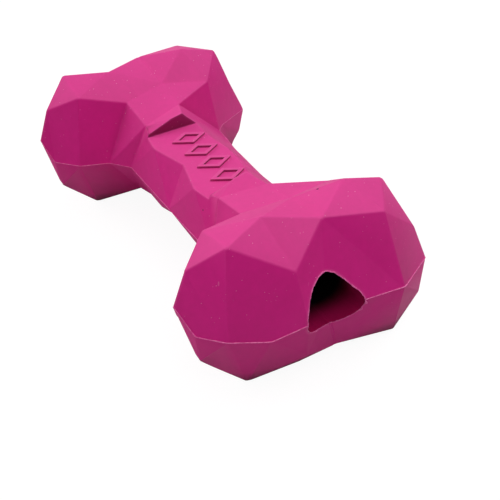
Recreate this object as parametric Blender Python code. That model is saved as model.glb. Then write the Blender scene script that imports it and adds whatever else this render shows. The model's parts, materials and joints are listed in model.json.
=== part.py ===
"""Bone-shaped treat toy of natural rubber, faceted all over and hollow from end to end.

The toy is two moulded half shells, joined on a film of rubber cement round the girdle.
X runs across the toy, Y along it, Z up. The toy lies on its four lowest corners, Z = 0.
Both ends are alike, mirrored in the plane Y = 0. Lengths are millimetres until scaled.
"""

import math

import bmesh
import bpy
from mathutils import Vector

MM = 0.001

# Outer shape
LOBE_REACH = 55.0            # middle of the toy to the middle of a lobe, along Y
LOBE_OFFSET = 26.5           # centre line to the middle of a lobe, along X
LOBE_HALF_LENGTH = 20.0
LOBE_HALF_WIDTH = 20.0
LOBE_HALF_HEIGHT = 30.5
SHAFT_HALF_WIDTH = 20.5
SHAFT_HALF_HEIGHT = 16.3
FOOT_FLAT = 0.5              # how much the flat feet cut off a lobe's depth
FOOT_DROP = LOBE_HALF_HEIGHT - FOOT_FLAT
NECK = LOBE_REACH - LOBE_HALF_LENGTH

# Girdle joint: the cement film, and the clearance on each side of it
FILM_THICKNESS = 0.4
JOINT_CLEARANCE = 0.3
LIP = 0.4                    # how far the squeezed-out cement stands proud of the shells

# Treat bore, open at both ends, moulded round two core pins that meet in the middle
MOUTH_RADIUS = 10.2          # mean: the mouth is three-cornered, the middle round
MIDDLE_RADIUS = 9.4          # the pins taper a little, so that they pull out
BORE_ACROSS = -2.3           # bore centre line, from the centre line of the toy
BORE_RISE = 1.3              # bore centre line, above the girdle
BORE_SIDES = 48
MOUTH_CORNERS = 0.11         # how far the three corners stand out, as a share of the radius
MOUTH_CORNERS_TURN = math.radians(-26)
MOUTH_OVAL = 0.09            # the same for the two ends of the oval on top of them
MOUTH_OVAL_TURN = math.radians(-34)
BORE_OVERRUN = 10.0          # how far the cutter runs past each end

# Recessed panel on top of the shaft, with a row of raised lozenges
PANEL_HALF_LENGTH = 21.9
PANEL_EDGE = 4.3             # right-hand step of the recess, from the centre line
PANEL_OVERRUN = 12.0         # how far the cutter runs past the shaft
LOZENGE_COUNT = 4
LOZENGE_END_GAP = 3.9        # bare floor at each end of the row
LOZENGE_GAP = 1.6            # bare floor between two lozenges
LOZENGE_EDGE_GAP = 2.2       # bare floor between the row and the step of the recess
LOZENGE_HALF_WIDTH = 6.6
LOZENGE_STROKE = 1.3
LOZENGE_HEIGHT = 0.8
LOZENGE_ROOT = 0.5           # how far a lozenge reaches down into the floor
LOZENGE_ACROSS = PANEL_EDGE - LOZENGE_EDGE_GAP - LOZENGE_HALF_WIDTH
LOZENGE_PITCH = 2 * (PANEL_HALF_LENGTH - LOZENGE_END_GAP) / LOZENGE_COUNT
LOZENGE_HALF_LENGTH = (LOZENGE_PITCH - LOZENGE_GAP) / 2

# Corners of the facets on one end, as shares of the half sizes above.
# Lobe corners: across and along from the middle of the lobe, up from the girdle.
LEFT_LOBE = {
    "lt1": (-0.79, -0.10, 0.66), "lt2": (-0.28, -0.47, 0.84), "lt3": (0.54, -0.75, 0.71),
    "lt4": (0.50, -0.12, 0.95), "lt5": (-0.28, 0.22, 0.94), "lt6": (0.63, 0.63, 0.58),
    "lg1": (0.02, -0.86, 0.0), "lg2": (-0.50, -0.66, 0.0), "lg3": (-0.85, -0.28, 0.0),
    "lg4": (-1.00, -0.10, 0.29), "lg5": (-0.83, 0.23, 0.0), "lg6": (-0.50, 0.58, 0.0),
    "lg7": (0.13, 0.79, -0.09), "lg8": (0.71, 0.91, 0.0),
    "lb1": (-0.70, 0.03, -0.50), "lb6": (0.91, 0.65, -0.64), "lb7": (0.79, -0.36, -0.75),
}
RIGHT_LOBE = {
    "rt1": (-0.64, -0.16, 1.01), "rt2": (0.11, -0.13, 0.86), "rt3": (-0.38, 0.55, 0.83),
    "rt4": (0.63, 0.23, 0.23), "rt5": (-0.41, -0.77, 0.70), "rt6": (0.70, 0.09, 0.05),
    "rg1": (-0.91, 0.90, 0.0), "rg2": (-0.17, 1.00, 0.0), "rg3": (1.01, 0.24, -0.30),
    "rg4": (-0.11, -0.77, 0.0),
    "rb4": (0.88, 0.34, -0.73), "rb5": (0.33, -0.36, -0.56), "rb6": (-0.40, -0.61, -0.70),
    "rb7": (0.71, -0.08, -0.48),
}
# Feet: across and along from the middle of the lobe, all at the foot level.
LEFT_FOOT = {"lb2": (0.01, 0.14), "lb3": (0.06, 0.23), "lb4": (1.01, 0.31), "lb5": (0.75, 0.10)}
RIGHT_FOOT = {"rb1": (0.18, 0.55), "rb2": (-0.20, 0.10), "rb3": (0.41, 0.03)}
# Valley corners: across from the centre line as a share of the lobe offset.
VALLEY = {
    "vt1": (0.02, -0.58, 0.77), "vt2": (-0.02, 0.29, 0.90), "vg1": (-0.16, 0.81, 0.0),
    "vb1": (0.20, 0.52, -0.80), "vb2": (0.15, -0.41, -0.75),
}
# Shaft corners: along from the middle of the toy as a share of the neck's place.
SHAFT = {
    "st1": (-0.74, 0.74, 1.15), "st2": (0.02, 0.86, 1.29), "st3": (-0.80, 0.58, 1.03),
    "st4": (-0.15, 0.58, 1.37), "st5": (-0.87, 0.42, 1.02), "st6": (-0.68, 0.0, 1.02),
    "st7": (0.0, 0.0, 1.31),
    "sg1": (-1.00, 0.88, 0.0), "sg2": (1.03, 1.04, 0.0), "sg3": (-1.01, 0.0, 0.0),
    "sg4": (0.89, 0.0, 0.0), "sg5": (0.94, 0.61, 0.0),
    "sb1": (-0.30, 0.0, -1.03), "sb2": (0.64, 0.0, -1.00), "sb3": (-0.77, 0.47, -0.69),
    "sb4": (-0.35, 0.58, -1.16), "sb5": (0.64, 0.50, -1.03), "sb6": (0.15, 0.88, -1.25),
    "sb7": (-0.64, 0.95, -0.95),
}

# Facets of one end, by corner. The other end mirrors them.
UPPER_FACETS = """
lt1 lt2 lt5, lt2 lt3 lt4, lt2 lt4 lt5, lt3 vt1 lt4, vt1 vt2 lt4, lt4 vt2 lt6, lt4 lt6 lt5,
lg4 lt1 lg5, lt1 lg6 lg5, lt1 lt5 lg6, lt5 lg7 lg6, lt5 lt6 lg7, lt6 lg8 lg7, lt6 vt2 vg1,
lt6 vg1 lg8, vt2 rg1 vg1, vt2 rg2 rg1, vt2 rt3 rg2, vt1 rt1 vt2, vt2 rt1 rt3, rt1 rt2 rt3,
rt2 rt4 rt3, rt3 rt4 rg2, rt4 rg3 rg2, vt1 rt5 rt1, rt1 rt5 rt2, rt2 rt5 rt6, rt2 rt6 rt4,
rt5 rg4 rt6, rt6 rg4 rg3, rt4 rt6 rg3, rt5 sg2 rg4, vt1 st2 rt5, st2 sg2 rt5, st1 lt3 vt1,
st1 vt1 st2, st3 st4 st1, st4 st2 st1, lt3 lg1 st1, st1 lg1 sg1, lt2 lg2 lg1, lt2 lg1 lt3,
lt1 lt2 lg2, lt1 lg2 lg3, lt1 lg3 lg4, st1 st5 st3, st1 sg1 st5, st5 sg1 sg3, st5 sg3 st6,
st3 st5 st4, st5 st6 st7, st5 st7 st4, st4 st7 sg4, st4 sg4 sg5, st4 sg5 sg2, st4 sg2 st2
"""
LOWER_FACETS = """
lg4 lg5 lb1, lg5 lg6 lb1, lg6 lb3 lb1, lg6 lg7 lb3, lg7 lb6 lb3, lg7 lg8 lb6, lg8 vg1 lb6,
vg1 vb1 lb6, vg1 rg1 vb1, rg1 rg2 vb1, rg2 rb1 vb1, rg2 rb4 rb1, rg2 rg3 rb4, lg4 lb1 lg3,
lg3 lb1 lg2, lg2 lb1 lb2, lg2 lb2 lg1, lg1 lb2 lb7, lb2 lb5 lb7, lg1 lb7 sg1, sg1 lb7 sb7,
sg1 sb7 sb3, sg1 sb3 sg3, sb3 sb1 sg3, lb2 lb3 lb4 lb5, lb1 lb3 lb2, lb3 lb6 lb4, lb4 lb6 vb1,
lb5 lb4 vb1, lb5 vb1 vb2, lb5 vb2 lb7, rb1 rb2 vb1, rb1 rb3 rb2, vb1 rb2 vb2, rb2 rb6 vb2,
rb2 rb3 rb5, rb2 rb5 rb6, rb3 rb4 rb5, rb1 rb4 rb3, rb4 rg3 rb7, rb4 rb7 rb5, rg3 rg4 rb7,
rg4 rb5 rb7, rg4 sg2 rb5, sg2 rb6 rb5, sg2 sb5 rb6, sg4 sb5 sg5, sg5 sb5 sg2, sg4 sb2 sb5,
sb2 sb1 sb4, sb2 sb4 sb5, sb1 sb3 sb4, sb7 lb7 sb4, sb3 sb7 sb4, sb4 lb7 sb6, sb4 sb6 sb5,
sb6 lb7 vb2, sb6 vb2 rb6, sb5 sb6 rb6
"""
# Joint face of one end: the flat part, and the sloping triangle out to each tip.
GIRDLE_LEFT = ["sg3", "sg1", "lg1", "lg2", "lg3", "lg4", "lg5", "lg6", "lg7", "lg8"]
GIRDLE_RIGHT = ["rg1", "rg2", "rg3", "rg4", "sg2", "sg5", "sg4"]
GIRDLE_RIGHT_OUTWARD = list(reversed(GIRDLE_RIGHT))
TIPS = {
    "lg4": ("lg3", "lg4", "lg5"), "lg7": ("lg6", "lg7", "lg8"), "rg3": ("rg2", "rg3", "rg4"),
}


def corner_places():
    """The place of each named corner of one end: across, along from the middle, up."""
    places = {}
    for corners, side in ((LEFT_LOBE, -1), (RIGHT_LOBE, 1)):
        for name, (across, along, up) in corners.items():
            x = side * LOBE_OFFSET + across * LOBE_HALF_WIDTH
            y = LOBE_REACH + along * LOBE_HALF_LENGTH
            places[name] = Vector((x, y, up * LOBE_HALF_HEIGHT))
    for corners, side in ((LEFT_FOOT, -1), (RIGHT_FOOT, 1)):
        for name, (across, along) in corners.items():
            x = side * LOBE_OFFSET + across * LOBE_HALF_WIDTH
            y = LOBE_REACH + along * LOBE_HALF_LENGTH
            places[name] = Vector((x, y, -FOOT_DROP))
    for name, (across, along, up) in VALLEY.items():
        y = LOBE_REACH + along * LOBE_HALF_LENGTH
        places[name] = Vector((across * LOBE_OFFSET, y, up * LOBE_HALF_HEIGHT))
    for name, (across, along, up) in SHAFT.items():
        places[name] = Vector((across * SHAFT_HALF_WIDTH, along * NECK, up * SHAFT_HALF_HEIGHT))
    return places


PLACES = corner_places()
GIRDLE = set(GIRDLE_LEFT + GIRDLE_RIGHT + ["vg1"])


def read_facets(text):
    return [facet.split() for facet in text.replace("\n", " ").split(",")]


def to_world(point):
    """Millimetres above the girdle to metres above the feet."""
    return Vector((point[0], point[1], point[2] + FOOT_DROP)) * MM


def rubber(name, colour, roughness):
    material = bpy.data.materials.new(name)
    material.use_nodes = True
    shader = material.node_tree.nodes["Principled BSDF"]
    shader.inputs["Base Color"].default_value = (*colour, 1.0)
    shader.inputs["Roughness"].default_value = roughness
    shader.inputs["Metallic"].default_value = 0.0
    return material


def add_object(name, bm, material=None):
    """Turn a bmesh into an object with its faces pointing out."""
    bmesh.ops.recalc_face_normals(bm, faces=bm.faces)
    mesh = bpy.data.meshes.new(name)
    bm.to_mesh(mesh)
    bm.free()
    obj = bpy.data.objects.new(name, mesh)
    bpy.context.scene.collection.objects.link(obj)
    if material is not None:
        mesh.materials.append(material)
    return obj


def hide_cutter(obj):
    obj.hide_render = True
    obj.display_type = "WIRE"


def apply_boolean(obj, tool, operation):
    boolean = obj.modifiers.new(operation.lower(), "BOOLEAN")
    boolean.object = tool
    boolean.operation = operation
    boolean.solver = "EXACT"


class EndPair:
    """Adds corners of both ends to one bmesh, sharing those in the middle plane."""

    def __init__(self, bm, lift):
        self.bm = bm
        self.lift = lift
        self.made = {}

    def vertex(self, name, end):
        place = PLACES[name]
        if place.y == 0.0:
            end = 0
        key = (name, end)
        if key not in self.made:
            rise = joint_rise(name, self.lift) if name in GIRDLE else 0.0
            point = (place.x, end * place.y, place.z + rise)
            self.made[key] = self.bm.verts.new(to_world(point))
        return self.made[key]

    def face(self, names, end):
        self.bm.faces.new([self.vertex(name, end) for name in names])


def make_blank(name, facets, side, material):
    """One half shell before the bore is cut: facets outside, the joint face inside."""
    bm = bmesh.new()
    pair = EndPair(bm, side * (FILM_THICKNESS / 2 + JOINT_CLEARANCE))
    flat = [n for n in GIRDLE_LEFT + ["vg1"] + GIRDLE_RIGHT if n not in TIPS]
    for end in (-1, 1):
        for facet in read_facets(facets):
            pair.face(facet, end)
        pair.face(flat, end)
        for tip in TIPS.values():
            pair.face(tip, end)
    return add_object(name, bm, material)


def make_bore_cutter():
    """The air inside the toy: one tunnel, round and narrowest in the middle."""
    end = LOBE_REACH + LOBE_HALF_LENGTH
    draft = (MOUTH_RADIUS - MIDDLE_RADIUS) / end
    bm = bmesh.new()
    rings = []
    for along in (-end - BORE_OVERRUN, 0.0, end + BORE_OVERRUN):
        mean = MIDDLE_RADIUS + draft * abs(along)
        ring = []
        for step in range(BORE_SIDES):
            angle = 2 * math.pi * (step + 0.5) / BORE_SIDES
            corners = MOUTH_CORNERS * math.cos(3 * (angle - MOUTH_CORNERS_TURN))
            oval = MOUTH_OVAL * math.cos(2 * (angle - MOUTH_OVAL_TURN))
            radius = mean * (1 + (corners + oval) * abs(along) / end)
            x = BORE_ACROSS + radius * math.cos(angle)
            z = BORE_RISE + radius * math.sin(angle)
            ring.append(bm.verts.new(to_world((x, along, z))))
        rings.append(ring)
    for ring, following in zip(rings, rings[1:]):
        for step in range(BORE_SIDES):
            other = (step + 1) % BORE_SIDES
            bm.faces.new((ring[step], ring[other], following[other], following[step]))
    bm.faces.new(rings[0])
    bm.faces.new(rings[-1])
    cutter = add_object("bore_cutter", bm)
    hide_cutter(cutter)
    return cutter


def add_box(bm, low, high):
    corners = []
    for z in (low[2], high[2]):
        for x, y in ((low[0], low[1]), (high[0], low[1]), (high[0], high[1]), (low[0], high[1])):
            corners.append(bm.verts.new(to_world((x, y, z))))
    bm.faces.new(corners[:4])
    bm.faces.new(corners[4:])
    for step in range(4):
        other = (step + 1) % 4
        bm.faces.new((corners[step], corners[other], corners[other + 4], corners[step + 4]))


def make_panel_cutter():
    """A block whose underside is the panel floor, level with the top of the shaft's side."""
    bm = bmesh.new()
    left = -SHAFT_HALF_WIDTH - PANEL_OVERRUN
    top = SHAFT_HALF_HEIGHT + PANEL_OVERRUN
    low = (left, -PANEL_HALF_LENGTH, SHAFT_HALF_HEIGHT)
    add_box(bm, low, (PANEL_EDGE, PANEL_HALF_LENGTH, top))
    cutter = add_object("panel_cutter", bm)
    hide_cutter(cutter)
    return cutter


def add_lozenge(bm, along):
    """A raised lozenge outline: an outer and an inner rim, closed above and below."""
    loops = []
    stroke = LOZENGE_STROKE
    for width, length in (
        (LOZENGE_HALF_WIDTH, LOZENGE_HALF_LENGTH),
        (LOZENGE_HALF_WIDTH * (1 - stroke / LOZENGE_HALF_LENGTH), LOZENGE_HALF_LENGTH - stroke),
    ):
        for z in (SHAFT_HALF_HEIGHT - LOZENGE_ROOT, SHAFT_HALF_HEIGHT + LOZENGE_HEIGHT):
            loop = []
            for x, y in ((-width, 0), (0, -length), (width, 0), (0, length)):
                place = (LOZENGE_ACROSS + x, along + y, z)
                loop.append(bm.verts.new(to_world(place)))
            loops.append(loop)
    outer_low, outer_high, inner_low, inner_high = loops
    rims = ((outer_low, outer_high), (outer_high, inner_high), (inner_high, inner_low),
            (inner_low, outer_low))
    for first, second in rims:
        for step in range(4):
            other = (step + 1) % 4
            bm.faces.new((first[step], first[other], second[other], second[step]))


def make_lozenges():
    bm = bmesh.new()
    for count in range(LOZENGE_COUNT):
        add_lozenge(bm, (count - (LOZENGE_COUNT - 1) / 2) * LOZENGE_PITCH)
    tool = add_object("lozenge_row", bm)
    hide_cutter(tool)
    return tool


def joint_rise(name, lift):
    """How far a girdle corner moves up for a lift of the joint face.

    The faces out to the tips slope, so the tips move further.
    """
    if name not in TIPS:
        return lift
    before, tip, after = (PLACES[corner] for corner in TIPS[name])
    normal = (before - tip).cross(after - tip).normalized()
    return lift / abs(normal.z)


def outward_offset(before, here, after):
    """A corner moved out in plan so that both edges that meet in it move by the lip."""
    first = (here - before).to_2d().normalized()
    second = (after - here).to_2d().normalized()
    square_to_first = Vector((-first.y, first.x))
    square_to_second = Vector((-second.y, second.x))
    middle = (square_to_first + square_to_second).normalized()
    reach = LIP / max(middle.dot(square_to_first), 0.5)
    return Vector((here.x + middle.x * reach, here.y + middle.y * reach, here.z))


def film_outline(chain):
    """Rim of one side of the cement film, from mouth to mouth, with its proud lip.

    Round a tip the rim grows within the sloping face, so the film stays in its gap.
    """
    mouth = LOBE_REACH + LOBE_HALF_LENGTH * LEFT_LOBE["lg8"][1]
    far = [(name, PLACES[name].copy()) for name in chain]
    near = [(name, Vector((p.x, -p.y, p.z))) for name, p in reversed(far) if p.y != 0.0]
    ends = [(None, Vector((BORE_ACROSS, side * mouth, 0.0))) for side in (-1, 1)]
    outline = ends[:1] + near + far + ends[1:]
    if chain == GIRDLE_RIGHT_OUTWARD:
        outline.reverse()
    places = [place for _, place in outline]
    grown = [outward_offset(*three) for three in zip(places, places[1:], places[2:])]
    for place in (places[0], places[-1]):
        grown.append(place + Vector((0.0, math.copysign(LIP, place.y), 0.0)))
    grown.insert(0, grown.pop(-2))
    for i, (name, tip) in enumerate(outline):
        if name in TIPS:
            along = (places[i - 1] - places[i + 1]).normalized()
            out = (tip - (places[i - 1] + places[i + 1]) / 2).normalized()
            grown[i - 1] = places[i - 1] + along * LIP
            grown[i] = tip + out * LIP
            grown[i + 1] = places[i + 1] - along * LIP
    return [(name, place) for (name, _), place in zip(outline, grown)]


def make_film(name, chain, material):
    """The cement film on one side of the bore, which cuts it off on its inner side."""
    outline = film_outline(chain)
    tips = [i for i, (corner, _) in enumerate(outline) if corner in TIPS]
    bm = bmesh.new()
    levels = []
    for lift in (-FILM_THICKNESS / 2, FILM_THICKNESS / 2):
        rim = []
        for corner, place in outline:
            rise = joint_rise(corner, lift)
            rim.append(bm.verts.new(to_world((place.x, place.y, place.z + rise))))
        levels.append(rim)
        bm.faces.new([v for i, v in enumerate(rim) if i not in tips])
        for i in tips:
            bm.faces.new((rim[i - 1], rim[i], rim[i + 1]))
    low, high = levels
    for step in range(len(low)):
        other = (step + 1) % len(low)
        bm.faces.new((low[step], low[other], high[other], high[step]))
    return add_object(name, bm, material)


def build():
    for obj in list(bpy.data.objects):
        bpy.data.objects.remove(obj, do_unlink=True)

    bore = make_bore_cutter()
    panel = make_panel_cutter()
    lozenges = make_lozenges()

    upper_rubber = rubber("moulded_rubber_upper", (0.70, 0.055, 0.27), 0.55)
    upper = make_blank("upper_half", UPPER_FACETS, 1, upper_rubber)
    apply_boolean(upper, panel, "DIFFERENCE")
    apply_boolean(upper, lozenges, "UNION")
    apply_boolean(upper, bore, "DIFFERENCE")

    lower_rubber = rubber("moulded_rubber_lower", (0.70, 0.055, 0.27), 0.55)
    lower = make_blank("lower_half", LOWER_FACETS, -1, lower_rubber)
    apply_boolean(lower, bore, "DIFFERENCE")

    cement = rubber("rubber_cement", (0.80, 0.16, 0.42), 0.6)
    left = make_film("cement_film_left", GIRDLE_LEFT, cement)
    apply_boolean(left, bore, "DIFFERENCE")
    right = make_film("cement_film_right", GIRDLE_RIGHT_OUTWARD, cement)
    apply_boolean(right, bore, "DIFFERENCE")


build()
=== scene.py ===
# %% [markdown]
# A dog's treat bone of soft moulded rubber, pink all through, with flat facets like a cut
# stone. The toy was measured and built as solids first, and this script only dresses it:
# it takes those solids as a fixed frame, gives the rubber its softened edges and its finish,
# and adds what the mould left behind, a thin lighter line of flash round the girdle and a
# ragged one round each mouth. X runs across the toy, Y along it, Z up, all in metres.

# %% Load the frame
import json
import math

import bmesh
import bpy
import numpy as np
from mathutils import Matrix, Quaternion, Vector


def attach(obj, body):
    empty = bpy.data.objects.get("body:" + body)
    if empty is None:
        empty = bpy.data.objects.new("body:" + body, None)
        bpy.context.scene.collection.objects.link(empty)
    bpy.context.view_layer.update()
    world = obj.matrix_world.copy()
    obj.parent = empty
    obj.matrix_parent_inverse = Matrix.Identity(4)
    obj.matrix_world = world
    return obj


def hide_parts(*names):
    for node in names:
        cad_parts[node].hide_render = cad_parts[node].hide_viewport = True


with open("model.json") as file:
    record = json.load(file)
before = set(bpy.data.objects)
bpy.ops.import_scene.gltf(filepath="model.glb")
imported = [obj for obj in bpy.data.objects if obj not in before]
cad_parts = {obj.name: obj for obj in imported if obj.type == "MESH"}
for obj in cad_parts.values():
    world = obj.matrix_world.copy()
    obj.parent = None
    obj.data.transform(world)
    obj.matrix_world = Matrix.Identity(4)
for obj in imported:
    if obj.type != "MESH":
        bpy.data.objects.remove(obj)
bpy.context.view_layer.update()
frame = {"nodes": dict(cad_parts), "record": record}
nodes = frame["nodes"]
MM = 0.001
print("nodes:", sorted(nodes))

# %% [markdown]
# The skin and the flash below are made from the frame's own corners. The level of the girdle,
# the widest line of the toy, is where the two halves meet, and most corners of the cement film
# lie on it, so the film's median height gives it. A helper reads a mesh's corners as one numpy
# array.

# %% Girdle level


def corners_of(mesh):
    """All vertex places of a mesh as an array of rows (x, y, z)."""
    flat = np.empty(len(mesh.vertices) * 3)
    mesh.vertices.foreach_get("co", flat)
    return flat.reshape(-1, 3)


FILM_SPREAD = 1 * MM         # the film's level corners are nearer than this to its median
film_heights = corners_of(nodes["cement_film_left"].data)[:, 2]
is_level = np.abs(film_heights - np.median(film_heights)) < FILM_SPREAD
GIRDLE = float(np.median(film_heights[is_level]))
print(f"girdle level: {GIRDLE / MM:.2f} mm above the floor")

# %% [markdown]
# The camera stands where the photographer stood: to the left of the near end, looking down by
# about forty degrees. A longish lens from close by keeps the near lobes large and the far
# ones small. Its place is the point it looks at plus a distance back along the view.

# %% Camera
CAMERA_AZIMUTH = -32.06      # degrees, to the left of straight ahead
CAMERA_ELEVATION = 39.48     # degrees above the table
CAMERA_ROLL = 0.086          # degrees about the line of sight
CAMERA_DISTANCE = 265.6 * MM
CAMERA_TARGET = Vector((-8.7 * MM, -34.45 * MM, GIRDLE + 0.3 * MM))
SENSOR = 36.0
FOCAL_IN_FRAMES = 1.616      # focal length as a share of the frame's width
NEAREST_SEEN = 0.01          # metres from the camera

azimuth, elevation = math.radians(CAMERA_AZIMUTH), math.radians(CAMERA_ELEVATION)
backwards = Vector((
    math.sin(azimuth) * math.cos(elevation),
    -math.cos(azimuth) * math.cos(elevation),
    math.sin(elevation),
))
roll = Quaternion((0, 0, 1), math.radians(CAMERA_ROLL))
camera_data = bpy.data.cameras.new("camera")
camera_data.sensor_width = SENSOR
camera_data.lens = FOCAL_IN_FRAMES * SENSOR
camera_data.clip_start = NEAREST_SEEN
camera = bpy.data.objects.new("camera", camera_data)
camera.location = CAMERA_TARGET + backwards * CAMERA_DISTANCE
camera.rotation_euler = (backwards.to_track_quat("Z", "Y") @ roll).to_euler()
bpy.context.scene.collection.objects.link(camera)
bpy.context.scene.camera = camera
bpy.context.scene.view_settings.view_transform = "Standard"
print("camera at", [round(c / MM, 1) for c in camera.location], "mm")

# %% [markdown]
# A material is a small graph of shader nodes. One helper makes a node, fills in its settings
# and wires its inputs, so that each recipe below reads from top to bottom. Another turns a
# colour written as on the web (sRGB hex) into the linear numbers that a renderer needs.

# %% Helpers for materials


def linear(hex_colour):
    """An sRGB hex colour as linear red, green, blue and full alpha."""
    value = hex_colour.lstrip("#")
    shares = np.array([int(value[i:i + 2], 16) for i in (0, 2, 4)]) / 255
    low, high = shares / 12.92, ((shares + 0.055) / 1.055) ** 2.4
    return (*np.where(shares <= 0.04045, low, high).tolist(), 1.0)


def add_node(tree, kind, inputs=None, **settings):
    """Add a shader node. A setting is an attribute; an input is a value or another socket."""
    node = tree.nodes.new(kind)
    for name, value in settings.items():
        setattr(node, name, value)
    for name, value in (inputs or {}).items():
        if isinstance(value, bpy.types.NodeSocket):
            tree.links.new(value, node.inputs[name])
        else:
            node.inputs[name].default_value = value
    return node


def new_material(name):
    """An empty material: its tree and its main shader are returned with it."""
    material = bpy.data.materials.new(name)
    material.use_nodes = True
    tree = material.node_tree
    return material, tree, tree.nodes["Principled BSDF"]


# %% [markdown]
# The toy is compression-moulded natural rubber, coloured all through. Such rubber is matte
# with a faint bloom, so the light it throws back at a glancing angle is soft and wide. Its
# colour is not quite even: it drifts a little over centimetres, where the rubber flowed, and
# is mottled finely where the mould's skin was rough. Over that lie, one on the other, a fine
# pale film on the facets that look up, partly dust and partly a painted sheen of the light
# from above; painted shade on the walls of hollows; edges a little pale, partly rubbed and
# partly a painted highlight; painted shade again on the panel's end walls and at the feet; a
# few scorched crumbs, one short scratch, and specks of dust. Inside the bore the wall is pink
# at the mouths and darkens further in: painted shade for the depth of the bore.

# %% Moulded natural rubber
RUBBER_PINK = "#E30B8B"
RUBBER_DEEP = "#D60781"
# Pale pink of the dust specks, and of the film on upward facets that is partly painted sheen.
DUST_AND_SHEEN_PINK = "#F7C4DF"
# Pale pink of the real scratch, and of edges partly rubbed and partly painted highlight.
RUBBED_AND_HIGHLIT_PINK = "#F590C6"
# The deep pink of painted shade: in hollows, on the panel's end walls and at the feet.
PAINTED_SHADE = "#68053A"
CRUMB = "#6A0A3C"
BORE_MOUTH = "#9E0448"
# The bore's painted shade, which darkens it from each mouth inwards.
BORE_SHADE = "#040001"
FLOW_SIZE = 18 * MM          # how far the colour takes to drift
MOTTLE_SIZE = 2.2 * MM
GRAIN_SIZE = 0.3 * MM
GRAIN_DEPTH = 0.05 * MM
GRAIN_STRENGTH = 0.12
ROUGHNESS = 0.68
REFRACTION = 1.50
SHINE, SHEEN = 0.33, 0.06    # outside: the mirror part of the finish, and the bloom's soft one
SHEEN_ROUGHNESS = 0.5
BORE_SHINE = 0.1
DRIFT = (0.55, 1.45)         # sums of the two noises that give the deep and the plain pink
RAYS = 12                    # sent out at each point to feel for faces close by
# How far a facet looks up is its normal's Z: 1 for a floor, 0 for a wall, -1 for a ceiling.
DUST_FILM_AND_PAINTED_SHEEN = 0.065                # how much of the pale film shows at the most: dust, and partly a painted sheen of the light from above
DUST_FILM_AND_PAINTED_SHEEN_FACING = (0.35, 0.8)   # how far up a facet looks where the film and its painted sheen start, and are full
PALE_EDGE_REACH = 0.9 * MM         # how far from an edge it is pale: rubbed, and partly a painted highlight
PALE_EDGE_OPEN = (1.0, 0.5)        # share of free rays on a flat, and right at a sharp edge
PALE_EDGE_STRENGTH = 0.19          # how much of the pale colour shows at the most
HOLLOW_REACH = 7 * MM        # hollows narrower than about this get painted shade on their walls
HOLLOW_OPEN = (0.88, 0.45)   # share of free rays where it starts, and is deepest
HOLLOW_FACING = (0.85, 0.5)  # how far up a face looks that is still a floor, and is a wall
HOLLOW_SHADE_STRENGTH = 0.68
# Painted shade on the panel's end walls, which look away from the light.
END_WALLS = ((-5.0, -22.5, 46.5), (-5.0, 22.5, 46.5))    # mm, both end walls of the panel
END_WALL_SIZE = (15.0, 3.2, 6.0)     # mm, half the extent of the zone round each
END_WALL_FACING = (0.55, 0.7)    # how far along the toy a face looks, from none to all
END_WALL_SHADE_STRENGTH = 0.62
FOOT_SHADE_TOP = 7 * MM            # up to this height the feet get painted contact shade
FOOT_SHADE_STRENGTH = 0.75
CRUMB_PITCH = 17.0 * MM      # about one place for a crumb on each cell of this side
CRUMB_SIZE = 0.33 * MM
CRUMB_SHARE = 0.5            # of the places that hold a crumb
LARGE_CRUMBS = (             # place and radius in mm
    ((6.9, -48.2, 57.2), 0.36),
    ((-18.3, -20.9, 41.9), 0.28),
)
SCRATCH = (-35.4, -60.5, 47.8)       # mm, its middle
SCRATCH_SIZE = (0.22, 0.22, 1.9)     # mm, half its extent along X, Y and Z
SCRATCH_STRENGTH = 0.3
DUST_PITCH = 1.5 * MM
DUST_SIZE = 0.15 * MM
DUST_SHARE = 0.6
DUST_FACING = (-0.3, 0.7)    # how far up a facet looks where it shows least, and most
DUST_STRENGTH = (0.1, 0.65)  # how much of its colour shows then
SMALLEST = 0.4               # size of the smallest speck as a share of the largest
BORE_SHADE_SPAN = (67.5 * MM, 59 * MM)     # from the middle: where the bore's wall is pink, and fully in painted shade


def ramp(tree, value, span, top=1.0, bottom=0.0, **settings):
    """A number that goes from bottom to top while the value goes across the span."""
    return add_node(tree, "ShaderNodeMapRange", {
        "Value": value, "From Min": span[0], "From Max": span[1], "To Min": bottom, "To Max": top,
    }, **settings).outputs["Result"]


def reckon(tree, operation, *numbers):
    """One step of arithmetic on numbers or sockets."""
    return add_node(
        tree, "ShaderNodeMath", dict(enumerate(numbers)), operation=operation,
    ).outputs["Value"]


def parts_of(tree, vector):
    """The X, Y and Z of a vector, as sockets by name."""
    return add_node(tree, "ShaderNodeSeparateXYZ", {"Vector": vector}).outputs


def layer(tree, amount, under, over):
    """One colour over another by an amount from 0 to 1."""
    return add_node(tree, "ShaderNodeMix", {
        "Factor": amount, "A": under, "B": over,
    }, data_type="RGBA").outputs["Result"]


def free_rays(tree, reach, **settings):
    """The share of rays from a point that meet no face of the toy within a reach."""
    return add_node(tree, "ShaderNodeAmbientOcclusion", {
        "Distance": reach,
    }, samples=RAYS, only_local=True, **settings).outputs["AO"]


def scatter(tree, place, pitch, size, share):
    """Specks: 1 close to a cell's centre, in that share of cells, each of its own size."""
    cells = add_node(tree, "ShaderNodeTexVoronoi", {"Vector": place, "Scale": 1 / pitch})
    lot = add_node(tree, "ShaderNodeSeparateColor", {"Color": cells.outputs["Color"]}).outputs
    chosen = reckon(tree, "LESS_THAN", lot["Red"], share)
    reach = ramp(tree, lot["Green"], (0.0, 1.0), size / pitch, SMALLEST * size / pitch)
    near = reckon(tree, "LESS_THAN", cells.outputs["Distance"], reach)
    return reckon(tree, "MULTIPLY", chosen, near)


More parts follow.
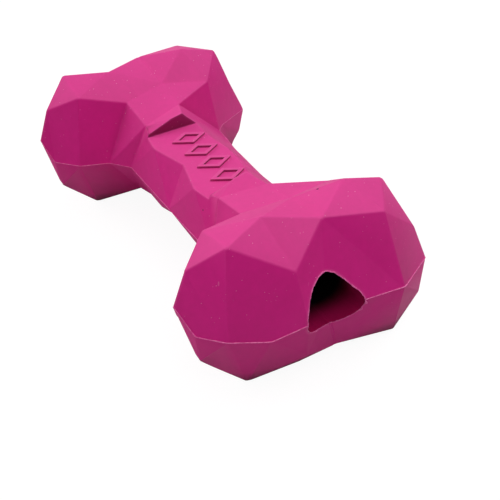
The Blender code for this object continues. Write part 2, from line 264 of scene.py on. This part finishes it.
def spot(tree, place, middle, size):
    """1 inside an ellipsoid of this middle and these half sizes, all in millimetres."""
    shifted = add_node(tree, "ShaderNodeVectorMath", {
        0: place, 1: [value * MM for value in middle],
    }, operation="SUBTRACT")
    scaled = add_node(tree, "ShaderNodeVectorMath", {
        0: shifted.outputs["Vector"], 1: [1 / (value * MM) for value in size],
    }, operation="MULTIPLY")
    length = add_node(tree, "ShaderNodeVectorMath", {
        0: scaled.outputs["Vector"],
    }, operation="LENGTH")
    return reckon(tree, "LESS_THAN", length.outputs["Value"], 1.0)


def bare_pink(tree, place):
    """The bare rubber: two pinks that drift into each other, finely mottled."""
    flow = add_node(tree, "ShaderNodeTexNoise", {
        "Vector": place, "Scale": 1 / FLOW_SIZE, "Detail": 3.0, "Roughness": 0.55,
    })
    mottle = add_node(tree, "ShaderNodeTexNoise", {
        "Vector": place, "Scale": 1 / MOTTLE_SIZE, "Detail": 4.0, "Roughness": 0.65,
    })
    both = reckon(tree, "ADD", flow.outputs["Fac"], mottle.outputs["Fac"])
    return layer(tree, ramp(tree, both, DRIFT), linear(RUBBER_DEEP), linear(RUBBER_PINK))


def add_dust_film_and_painted_sheen(tree, colour, facing):
    """Dust on the facets that look up, and a painted sheen of the light from above on them."""
    film_and_sheen = ramp(tree, facing["Z"], DUST_FILM_AND_PAINTED_SHEEN_FACING, DUST_FILM_AND_PAINTED_SHEEN)
    return layer(tree, film_and_sheen, colour, linear(DUST_AND_SHEEN_PINK))


def add_painted_shade_in_hollows(tree, colour, facing):
    """Painted shade on the walls of hollows, where most rays from the face soon meet the toy."""
    hollow = ramp(tree, free_rays(tree, HOLLOW_REACH), HOLLOW_OPEN, HOLLOW_SHADE_STRENGTH)
    wall = ramp(tree, facing["Z"], HOLLOW_FACING)
    return layer(tree, reckon(tree, "MULTIPLY", hollow, wall), colour, linear(PAINTED_SHADE))


def add_rubbed_and_highlit_edges(tree, colour):
    """Pale edges, partly rubbed and partly a painted highlight. Rays sent inwards from a point
    soon come out again beside a fold that stands out, and never on a flat or in a valley,
    so they tell how near such a fold is."""
    pale_edge = ramp(tree, free_rays(tree, PALE_EDGE_REACH, inside=True), PALE_EDGE_OPEN, PALE_EDGE_STRENGTH)
    return layer(tree, pale_edge, colour, linear(RUBBED_AND_HIGHLIT_PINK))


def add_painted_shade_on_end_walls(tree, colour, place, facing):
    """Painted shade on the two end walls of the panel, which look along the toy."""
    lengthways = reckon(tree, "ABSOLUTE", facing["Y"])
    wall = ramp(tree, lengthways, END_WALL_FACING, END_WALL_SHADE_STRENGTH)
    for middle in END_WALLS:
        here = reckon(tree, "MULTIPLY", spot(tree, place, middle, END_WALL_SIZE), wall)
        colour = layer(tree, here, colour, linear(PAINTED_SHADE))
    return colour


def add_painted_shade_at_feet(tree, colour, place):
    """Painted contact shade towards the feet, which lie on the floor."""
    low = ramp(tree, parts_of(tree, place)["Z"], (FOOT_SHADE_TOP, 0.0), FOOT_SHADE_STRENGTH)
    return layer(tree, low, colour, linear(PAINTED_SHADE))


def add_marks(tree, colour, place):
    """Scorched crumbs, small ones anywhere and two large ones, and one pale scratch."""
    crumbs = scatter(tree, place, CRUMB_PITCH, CRUMB_SIZE, CRUMB_SHARE)
    colour = layer(tree, crumbs, colour, linear(CRUMB))
    for middle, radius in LARGE_CRUMBS:
        colour = layer(tree, spot(tree, place, middle, [radius] * 3), colour, linear(CRUMB))
    scratch = spot(tree, place, SCRATCH, SCRATCH_SIZE)
    faint = reckon(tree, "MULTIPLY", scratch, SCRATCH_STRENGTH)
    return layer(tree, faint, colour, linear(RUBBED_AND_HIGHLIT_PINK))


def add_dust(tree, colour, place, facing):
    """Specks of dust, which show most on the facets that look up."""
    caught = ramp(tree, facing["Z"], DUST_FACING, DUST_STRENGTH[1], DUST_STRENGTH[0])
    specks = scatter(tree, place, DUST_PITCH, DUST_SIZE, DUST_SHARE)
    return layer(tree, reckon(tree, "MULTIPLY", specks, caught), colour, linear(DUST_AND_SHEEN_PINK))


def outer_skin(tree, where):
    """The colour of the toy's outside, with its marks and its painted light and shade."""
    place, facing = where["Object"], parts_of(tree, where["Normal"])
    colour = bare_pink(tree, place)
    colour = add_dust_film_and_painted_sheen(tree, colour, facing)
    colour = add_painted_shade_in_hollows(tree, colour, facing)
    colour = add_rubbed_and_highlit_edges(tree, colour)
    colour = add_painted_shade_on_end_walls(tree, colour, place, facing)
    colour = add_painted_shade_at_feet(tree, colour, place)
    colour = add_marks(tree, colour, place)
    return add_dust(tree, colour, place, facing)


def shaded_bore_wall(tree, where):
    """The colour of the bore's wall: pink at both mouths, and painted shade further in."""
    off = reckon(tree, "ABSOLUTE", parts_of(tree, where["Object"])["Y"])
    bore_shade = ramp(tree, off, BORE_SHADE_SPAN, interpolation_type="SMOOTHSTEP")
    return layer(tree, bore_shade, linear(BORE_MOUTH), linear(BORE_SHADE))


def make_rubber(name, colour_of, shine, sheen):
    """Rubber of a colour worked out from place and normal, with how much it mirrors light and
    how much its bloom scatters. A fine grain roughens it."""
    material, tree, shader = new_material(name)
    where = add_node(tree, "ShaderNodeTexCoord").outputs
    grain = add_node(tree, "ShaderNodeTexNoise", {
        "Vector": where["Object"], "Scale": 1 / GRAIN_SIZE, "Detail": 2.0,
    })
    relief = add_node(tree, "ShaderNodeBump", {
        "Height": grain.outputs["Fac"], "Strength": GRAIN_STRENGTH, "Distance": GRAIN_DEPTH,
    })
    tree.links.new(colour_of(tree, where), shader.inputs["Base Color"])
    tree.links.new(relief.outputs["Normal"], shader.inputs["Normal"])
    shader.inputs["Roughness"].default_value = ROUGHNESS
    shader.inputs["IOR"].default_value = REFRACTION
    shader.inputs["Specular IOR Level"].default_value = shine
    shader.inputs["Sheen Weight"].default_value = sheen
    shader.inputs["Sheen Roughness"].default_value = SHEEN_ROUGHNESS
    return material


rubber = make_rubber("moulded_natural_rubber", outer_skin, SHINE, SHEEN)
shaded_bore_rubber = make_rubber("moulded_natural_rubber_bore_shaded", shaded_bore_wall, BORE_SHINE, 0.0)
print("made", rubber.name, "and", shaded_bore_rubber.name)

# %% [markdown]
# The two halves of the frame stand a little apart, with the cement film between them. On the
# real toy they have become one skin, so each half is copied and its joint face is brought to
# the girdle. Corners that face each other across the joint are found by their place in plan.
# The corners of the treat bore face each other too, across the hole, and are left alone.

# %% Close the joint between the halves
JOINT_GAP = 6 * MM           # the widest that facing corners stand apart, at the side tips
MOUTH_GAP = 1.2 * MM         # the same at the mouths
SAME = 0.02 * MM             # facing corners agree in plan within this, level ones in height
BORE_BAND = 14 * MM          # no side tip is nearer to the bore's axis than this
TOUCHING = 0.001 * MM        # corners of neighbouring triangles are closer than this
ONE_FACE = math.radians(0.2)     # triangles at a smaller angle belong to one flat face
openings = frame["record"]["physics"]["openings"]
bore_box = np.array(next(o["box_m"] for o in openings if o["name"] == "treat_bore"))
BORE_X, BORE_Z = bore_box.mean(axis=0)[[0, 2]]


def merged_copy(node, name):
    """A copy of a frame node with its loose triangles joined into one skin of flat faces."""
    work = bmesh.new()
    work.from_mesh(node.data)
    bmesh.ops.remove_doubles(work, verts=work.verts, dist=TOUCHING)
    edges = [edge for edge in work.edges if edge.is_manifold]
    bmesh.ops.dissolve_limit(
        work, angle_limit=ONE_FACE, use_dissolve_boundaries=False, verts=work.verts,
        edges=edges,
    )
    mesh = bpy.data.meshes.new(name)
    work.to_mesh(mesh)
    work.free()
    return mesh


def close_joint(upper_mesh, lower_mesh):
    """Bring both joint faces to the middle of their gap, and tell which corners lie on it."""
    upper, lower = corners_of(upper_mesh), corners_of(lower_mesh)
    apart = np.hypot(
        upper[:, None, 0] - lower[None, :, 0], upper[:, None, 1] - lower[None, :, 1],
    )
    rise = upper[:, None, 2] - lower[None, :, 2]
    beside = (np.abs(upper[:, 0] - BORE_X) > BORE_BAND)[:, None]
    tallest, farthest = np.where(beside, JOINT_GAP, MOUTH_GAP), np.where(beside, SAME, 2 * SAME)
    top, bottom = np.nonzero((apart < farthest) & (rise > 0) & (rise < tallest))
    middle = (upper[top, 2] + lower[bottom, 2]) / 2
    levels = np.median(upper[top, 2]), np.median(lower[bottom, 2])
    on_joint = []
    for places, level, facing in zip((upper, lower), levels, (top, bottom)):
        flat = np.abs(places[:, 2] - level) < SAME
        places[flat, 2] = GIRDLE
        flat[facing] = True
        on_joint.append(flat)
    upper[top, 2], lower[bottom, 2] = middle, middle
    for mesh, places in ((upper_mesh, upper), (lower_mesh, lower)):
        mesh.vertices.foreach_set("co", places.ravel())
        mesh.update()
    return on_joint


upper_mesh = merged_copy(nodes["upper_half"], "upper_skin")
lower_mesh = merged_copy(nodes["lower_half"], "lower_skin")
on_joint = close_joint(upper_mesh, lower_mesh)
print("corners on the joint:", [int(mask.sum()) for mask in on_joint])

# %% [markdown]
# No moulded edge is perfectly sharp. The two halves are welded into one skin, whose creases
# are rounded by a Bevel modifier. Its width at each edge is a weight: nearly a millimetre
# across for the plain creases, less along the girdle, and a rolled edge round the feet. A
# small facet limits the width of its edges, so that the lozenges and the panel's steps stay
# crisp. The faces are first sorted into joint, bore and outside: the joint's own faces go,
# and the bore stays a smooth pipe.

# %% Weld the halves and round the creases
WELD = 0.4 * MM              # the mouth's corners stand at most this far apart in plan
WIDEST = 2.0 * MM            # the Bevel modifier's width, which a weight of 1 stands for
CREASE = 0.45 * MM
GIRDLE_EDGE = 0.20 * MM
FOOT_ROLL = 1.2 * MM
ROOM = 0.40                  # share of a facet's inner circle that one rounding may take
CRISP = 0.3 * MM             # an edge with less room than this stays crisp
FLAT_TURN = math.radians(6.0)    # a flatter fold than this gets no rounding
LEVEL_TURN = math.radians(1.2)   # and below this the two facets are shaded as one
FOOT_FACING = -0.999         # the normal's Z of a foot's flat
BORE_REACH = 13 * MM         # the bore's wall is nearer to its axis than this
LOOKS_IN = 0.5               # cosine of the widest angle at which a face looks at the axis
BEVEL_STEPS = 4


def weld(meshes, joint_masks):
    """One closed skin from both halves: without their joint faces, and welded at the rim."""
    work = bmesh.new()
    for mesh in meshes:
        work.from_mesh(mesh)
    joined = work.verts.layers.int.new("on_joint")
    for vert, mark in zip(work.verts, np.concatenate(joint_masks)):
        vert[joined] = int(mark)
    inner = [face for face in work.faces if all(vert[joined] for vert in face.verts)]
    bmesh.ops.delete(work, geom=inner, context="FACES")
    rim = [vert for vert in work.verts if vert[joined]]
    bmesh.ops.remove_doubles(work, verts=rim, dist=WELD)
    return work, joined


def in_bore(face):
    """True for a face that is close to the bore's axis and looks at it."""
    centre = face.calc_center_median()
    to_axis = np.array([BORE_X - centre.x, BORE_Z - centre.z])
    away = np.hypot(*to_axis)
    looks_in = to_axis @ np.array([face.normal.x, face.normal.z]) > LOOKS_IN * away
    return looks_in and away < BORE_REACH


def round_width(edge, on_girdle):
    """How wide to round a crease: by its place, then by the room on its faces, which is a
    share of their inner circles' radius, 2 area / perimeter."""
    if any(face.normal.z < FOOT_FACING for face in edge.link_faces):
        width = FOOT_ROLL
    elif on_girdle:
        width = GIRDLE_EDGE
    else:
        width = CREASE
    rooms = [
        ROOM * 2 * face.calc_area() / sum(side.calc_length() for side in face.edges)
        for face in edge.link_faces
    ]
    return min(width, *rooms) if min(rooms) > CRISP else 0.0


def weigh_edges(work, joined):
    """Give each edge its width as a bevel weight; return the girdle and the mouth edges."""
    weights = work.edges.layers.float.new("bevel_weight_edge")
    for face in work.faces:
        face.material_index = int(in_bore(face))
    rim, mouth = [], []
    for edge in work.edges:
        inside = [in_bore(face) for face in edge.link_faces]
        turn = edge.calc_face_angle(0.0)
        ends = [tuple(vert.co) for vert in edge.verts]
        on_girdle = all(vert[joined] for vert in edge.verts)
        if not any(inside):
            if turn > FLAT_TURN:
                edge[weights] = round_width(edge, on_girdle) / WIDEST
                edge.smooth = edge[weights] > 0
            else:
                edge.smooth = turn < LEVEL_TURN
            if on_girdle:
                rim.append(ends)
        elif not all(inside):
            mouth.append(ends)
            edge.smooth = False
    return rim, mouth


work, joined = weld((upper_mesh, lower_mesh), on_joint)
loose = sum(not edge.is_manifold for edge in work.edges)
girdle_edges, mouth_edges = weigh_edges(work, joined)
work.verts.layers.int.remove(joined)
skin_mesh = bpy.data.meshes.new("moulded_skin")
work.to_mesh(skin_mesh)
work.free()
skin_mesh.polygons.foreach_set("use_smooth", np.ones(len(skin_mesh.polygons), dtype=bool))
skin_mesh.materials.append(rubber)
skin_mesh.materials.append(shaded_bore_rubber)
skin = bpy.data.objects.new("moulded_skin", skin_mesh)
bpy.context.scene.collection.objects.link(skin)
bevel = skin.modifiers.new("soft_edges", "BEVEL")
bevel.limit_method = "WEIGHT"
bevel.width = WIDEST
bevel.segments = BEVEL_STEPS
bevel.use_clamp_overlap = False
bevel.harden_normals = True
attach(skin, "root")
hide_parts("upper_half", "lower_half")
print("skin:", len(skin_mesh.polygons), "faces,", loose, "open edges")
print("girdle edges:", len(girdle_edges), "mouth edges:", len(mouth_edges))

# %% [markdown]
# Where the two halves meet, a hair of rubber was squeezed out and torn off, and the ridge it
# left catches the light as a thin pale line all round the toy. It is made as a low round bead
# along the girdle: the rim's edges are chained into one line on each side of the bore, the
# line is cut into even steps and its corners are eased, and at each point an ellipse stands
# across it, one axis outwards and one upwards. The bead swells and thins a little on its way,
# and it is worn down from the shaft on to the far end.

# %% Flash along the girdle
FLASH_SEED = 11
rng = np.random.default_rng(FLASH_SEED)
FLASH_PINK = "#E2459A"
FLASH_PALE = "#F67ABC"
FLASH_ROUGHNESS = 0.55
FLASH_REFRACTION = 1.52
TEAR_SIZE = 0.8 * MM
TEAR_SPAN = (0.35, 0.65)     # of the noise: what gives the pink, and what the pale pink
BEAD_STEP = 0.4 * MM
BEAD_REACH = 0.20 * MM       # half the ellipse's axis that points outwards
BEAD_RISE = 0.17 * MM        # and half the one that points up
BEAD_SIDES = 10
BEAD_EASE = 4                # how many times the line's corners are eased
SWELL, SWELL_WAVES = 0.12, 60    # how much its thickness wanders, in how many waves at most
WORN = 0.62                  # how thick the bead still is where it is worn down
WORN_FROM = (-45 * MM, -12 * MM)     # along the toy: where it is whole, and where worn
CORNER_GRID = 0.01 * MM      # places that round to the same multiple of this are one


def chain(edges):
    """Join loose edges (pairs of places) end to end into lines, longest first."""
    def key(place):
        return tuple(np.round(np.array(place) / CORNER_GRID).astype(int))

    neighbours = {}
    places = {}
    for ends in edges:
        a, b = key(ends[0]), key(ends[1])
        places[a], places[b] = ends
        neighbours.setdefault(a, []).append(b)
        neighbours.setdefault(b, []).append(a)
    lines = []
    while neighbours:
        loose_ends = [corner for corner, near in neighbours.items() if len(near) == 1]
        line = [loose_ends[0] if loose_ends else next(iter(neighbours))]
        while neighbours.get(line[-1]):
            onward = neighbours[line[-1]].pop()
            neighbours[onward].remove(line[-1])
            line.append(onward)
        neighbours = {corner: near for corner, near in neighbours.items() if near}
        lines.append(np.array([places[corner] for corner in line]))
    return sorted(lines, key=len, reverse=True)


def even_steps(line, step):
    """Points at even steps along a line of straight stretches, from its first to its last."""
    stretch = np.linalg.norm(np.diff(line, axis=0), axis=1)
    run = np.concatenate([[0], np.cumsum(stretch)])
    stops = np.linspace(0, run[-1], max(3, round(run[-1] / step)))
    return np.stack([np.interp(stops, run, line[:, axis]) for axis in range(3)], axis=1)


def eased(line, closed=False):
    """A line whose every point is the mean of itself and its neighbours (1, 2, 1)."""
    if closed:
        return (np.roll(line, 1, axis=0) + 2 * line + np.roll(line, -1, axis=0)) / 4
    inner = (line[:-2] + 2 * line[1:-1] + line[2:]) / 4
    return np.concatenate([line[:1], inner, line[-1:]])


def wander(count, waves, closed=False):
    """Smooth random numbers along a line: a sum of sines of 1 to so many waves, each weaker."""
    share = np.linspace(0, 1, count, endpoint=not closed)
    number = np.arange(1, waves + 1)
    size = rng.normal(size=waves) / np.sqrt(number)
    turn = rng.uniform(0, 2 * np.pi, waves)
    total = (size * np.sin(2 * np.pi * share[:, None] * number + turn)).sum(axis=1)
    return total / total.std()


def tube_mesh(name, path, across, upward, reach, rise, sides, closed):
    """A tube: at each point p of the path the ellipse p + reach cos(t) across + rise sin(t)
    upward, t going once round. An open tube is closed by a flat face at each end."""
    turn = np.linspace(0, 2 * np.pi, sides, endpoint=False)[None, :, None]
    rings = (path[:, None] + reach[:, None, None] * np.cos(turn) * across[:, None]
             + rise[:, None, None] * np.sin(turn) * upward[:, None])
    count = len(path)
    ring, side = np.meshgrid(np.arange(count if closed else count - 1), np.arange(sides),
                             indexing="ij")
    after, beside = (ring + 1) % count, (side + 1) % sides
    quads = np.stack([ring * sides + side, ring * sides + beside,
                      after * sides + beside, after * sides + side], axis=-1).reshape(-1, 4)
    faces = quads.tolist()
    if not closed:
        faces += [list(range(sides))[::-1], list(range((count - 1) * sides, count * sides))]
    mesh = bpy.data.meshes.new(name)
    mesh.from_pydata(rings.reshape(-1, 3).tolist(), [], faces)
    work = bmesh.new()
    work.from_mesh(mesh)
    bmesh.ops.recalc_face_normals(work, faces=work.faces)
    work.to_mesh(mesh)
    work.free()
    mesh.polygons.foreach_set("use_smooth", np.ones(len(mesh.polygons), dtype=bool))
    return mesh


def add_flash(mesh, node=None):
    """Link a piece of flash to the scene and give it the torn rubber."""
    piece = bpy.data.objects.new(mesh.name, mesh)
    bpy.context.scene.collection.objects.link(piece)
    mesh.materials.append(flash)
    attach(piece, "root")
    if node:
        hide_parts(node)


def make_flash_material():
    """Torn rubber: paler than the moulded skin, because its broken surface scatters light."""
    material, tree, shader = new_material("torn_rubber_flash")
    place = add_node(tree, "ShaderNodeTexCoord").outputs["Object"]
    tear = add_node(tree, "ShaderNodeTexNoise", {
        "Vector": place, "Scale": 1 / TEAR_SIZE, "Detail": 3.0,
    })
    pale = ramp(tree, tear.outputs["Fac"], TEAR_SPAN)
    colour = layer(tree, pale, linear(FLASH_PINK), linear(FLASH_PALE))
    tree.links.new(colour, shader.inputs["Base Color"])
    shader.inputs["Roughness"].default_value = FLASH_ROUGHNESS
    shader.inputs["IOR"].default_value = FLASH_REFRACTION
    return material


flash = make_flash_material()
for line in chain(girdle_edges)[:2]:
    side = "left" if line[:, 0].mean() < BORE_X else "right"
    path = even_steps(line, BEAD_STEP)
    for _ in range(BEAD_EASE):
        path = eased(path)
    along = np.gradient(path, axis=0)
    along[:, 2] = 0
    along /= np.linalg.norm(along, axis=1, keepdims=True)
    across = np.stack([along[:, 1], -along[:, 0], np.zeros(len(along))], axis=1)
    upward = np.tile([0.0, 0.0, 1.0], (len(path), 1))
    swell = 1 + SWELL * wander(len(path), SWELL_WAVES)
    swell *= np.interp(path[:, 1], WORN_FROM, (1.0, WORN))
    bead = tube_mesh(
        f"girdle_flash_{side}", path, across, upward, BEAD_REACH * swell, BEAD_RISE * swell,
        BEAD_SIDES, closed=False,
    )
    add_flash(bead, f"cement_film_{side}")
    length = np.linalg.norm(np.diff(path, axis=0), axis=1).sum()
    print(bead.name, len(path), "points,", round(length / MM), "mm long")

# %% [markdown]
# Round each mouth the same flash was trimmed by hand, and its edge is ragged: thicker here,
# nibbled there, with a few nubs left standing. The mouth's edges close to a loop, sorted by
# their angle about the bore's axis. A tube runs round it whose thickness wanders from point
# to point, and its path wanders too.

# %% Flash round the mouths
LIP_STEP = 0.22 * MM
LIP_RADIUS = 0.15 * MM
LIP_EASE = 5
ROUGH, ROUGH_WAVES = 0.35, 110       # how much its thickness wanders, as a share
THINNEST, THICKEST = 0.4, 2.2        # and the shares of its radius that bound it
STRAY, STRAY_WAVES = 0.09 * MM, 70   # how far its path wanders
NUBS = ((-14.0, 0.8), (-29.0, 0.7), (98.0, 0.4), (-122.0, 0.5))    # degrees round, mm tall
NUB_WIDTH = 2.4              # degrees
NUB_LEAN = 0.25              # how far a nub leans out of the mouth, as a share of its height
NUB_RISE = 0.3               # how much thicker it makes the lip in that direction


def mouth_loop(end):
    """The corners of one mouth in order round the bore's axis, closed."""
    corners = np.array(mouth_edges).reshape(-1, 3)
    corners = corners[corners[:, 1] * end > 0]
    angle = np.arctan2(corners[:, 2] - BORE_Z, corners[:, 0] - BORE_X)
    _, first = np.unique(np.round(np.degrees(angle), 1), return_index=True)
    loop = corners[first[np.argsort(angle[first])]]
    return np.concatenate([loop, loop[:1]])


for name, end in (("near", -1), ("far", 1)):
    path = even_steps(mouth_loop(end), LIP_STEP)[:-1]
    for _ in range(LIP_EASE):
        path = eased(path, closed=True)
    inward = np.stack([BORE_X - path[:, 0], np.zeros(len(path)), BORE_Z - path[:, 2]], axis=1)
    inward /= np.linalg.norm(inward, axis=1, keepdims=True)
    outward = np.tile([0.0, float(end), 0.0], (len(path), 1))
    angle = np.degrees(np.arctan2(path[:, 2] - BORE_Z, path[:, 0] - BORE_X))
    nub = sum(
        tall * MM * np.exp(-((angle - at + 180) % 360 - 180) ** 2 / (2 * NUB_WIDTH ** 2))
        for at, tall in NUBS
    )
    swell = 1 + ROUGH * wander(len(path), ROUGH_WAVES, closed=True)
    thick = LIP_RADIUS * np.clip(swell, THINNEST, THICKEST)
    stray = STRAY * wander(len(path), STRAY_WAVES, closed=True)[:, None]
    path = path + stray * inward + nub[:, None] * (NUB_LEAN * outward - inward / 2)
    lip = tube_mesh(
        f"{name}_mouth_flash", path, inward, outward, thick + nub / 2,
        thick + NUB_RISE * nub, BEAD_SIDES, closed=True,
    )
    add_flash(lip)
    print(lip.name, len(path), "points")

# %% [markdown]
# The toy lies on a plain pale table that runs on past the edge of the picture. The camera
# sees the table and what lies beyond it as white, and the toy still leaves a soft shadow. To
# the light the paper is only a light grey, because the photographed toy darkens towards its
# feet: it gets less light from below. Rubber mirrors nothing sharply, so no ray but the
# camera's needs to see white.

# %% Floor
PAPER = "#C6C6C6"
PAPER_ROUGHNESS = 0.9
FLOOR_REACH = 3.0            # metres from the middle of the table to each edge
SEEN_GLOW = 0.80             # how much of what the camera sees is the plain white glow
GLOW = 1.165                 # the strength of that glow, where 1 is white
floor_mesh = bpy.data.meshes.new("floor")
floor_mesh.from_pydata(
    [(x * FLOOR_REACH, y * FLOOR_REACH, 0) for x, y in ((-1, -1), (1, -1), (1, 1), (-1, 1))],
    [], [(0, 1, 2, 3)],
)
floor = bpy.data.objects.new("floor", floor_mesh)
bpy.context.scene.collection.objects.link(floor)
paper, tree, shader = new_material("grey_paper_sweep")
shader.inputs["Roughness"].default_value = PAPER_ROUGHNESS
shader.inputs["Base Color"].default_value = linear(PAPER)
seen = add_node(tree, "ShaderNodeLightPath").outputs["Is Camera Ray"]
share = reckon(tree, "MULTIPLY", seen, SEEN_GLOW)
glow = add_node(tree, "ShaderNodeEmission", {"Color": (1, 1, 1, 1), "Strength": GLOW})
blend = add_node(tree, "ShaderNodeMixShader", {
    "Fac": share, 1: shader.outputs["BSDF"], 2: glow.outputs["Emission"],
})
tree.links.new(blend.outputs["Shader"], tree.nodes["Material Output"].inputs["Surface"])
floor_mesh.materials.append(paper)

# %% [markdown]
# A wide softbox hangs over the toy, a little towards its far end, as over a table in a
# product studio: it lights the facets that look up and lets those that look at the camera
# fall off. A small one over the near end, one on the right and one behind on the left shape
# the facets that look that way, and weak ones on the left and low behind keep the shadows
# open. The room itself is nearly dark.

# %% Lights
ROOM_LIGHT = 0.085           # how bright the room is to all rays but the camera's, where 1 is white
SOFTBOXES = {                # place and side length in metres, power in watts
    "overhead_softbox": ((0.0, 0.15, 1.2), 1.5, 5.9),
    "near_softbox": ((-0.1, -0.4, 0.7), 0.5, 1.65),
    "right_softbox": ((0.7, 0.0, 0.9), 0.7, 4.5),
    "left_side_softbox": ((-1.3, -0.1, 0.45), 1.0, 1.5),
    "back_softbox": ((-0.9, 1.0, 0.7), 1.0, 7.3),
    "low_back_softbox": ((0.2, 1.2, 0.3), 0.6, 2.0),
}
world = bpy.data.worlds.new("studio")
bpy.context.scene.world = world
world.use_nodes = True
tree = world.node_tree
seen = add_node(tree, "ShaderNodeLightPath").outputs["Is Camera Ray"]
strength = ramp(tree, seen, (0.0, 1.0), 1.0, ROOM_LIGHT)
tree.nodes["Background"].inputs["Color"].default_value = (1, 1, 1, 1)
tree.links.new(strength, tree.nodes["Background"].inputs["Strength"])


def add_softbox(name, place, size, power):
    """A square area light at a place in metres, aimed at the toy's middle."""
    data = bpy.data.lights.new(name, "AREA")
    data.shape = "SQUARE"
    data.size = size
    data.energy = power
    lamp = bpy.data.objects.new(name, data)
    lamp.location = place
    lamp.rotation_euler = Vector(place).to_track_quat("Z", "Y").to_euler()
    bpy.context.scene.collection.objects.link(lamp)


for name, (place, size, power) in SOFTBOXES.items():
    add_softbox(name, place, size, power)
print("lights:", ", ".join(SOFTBOXES))
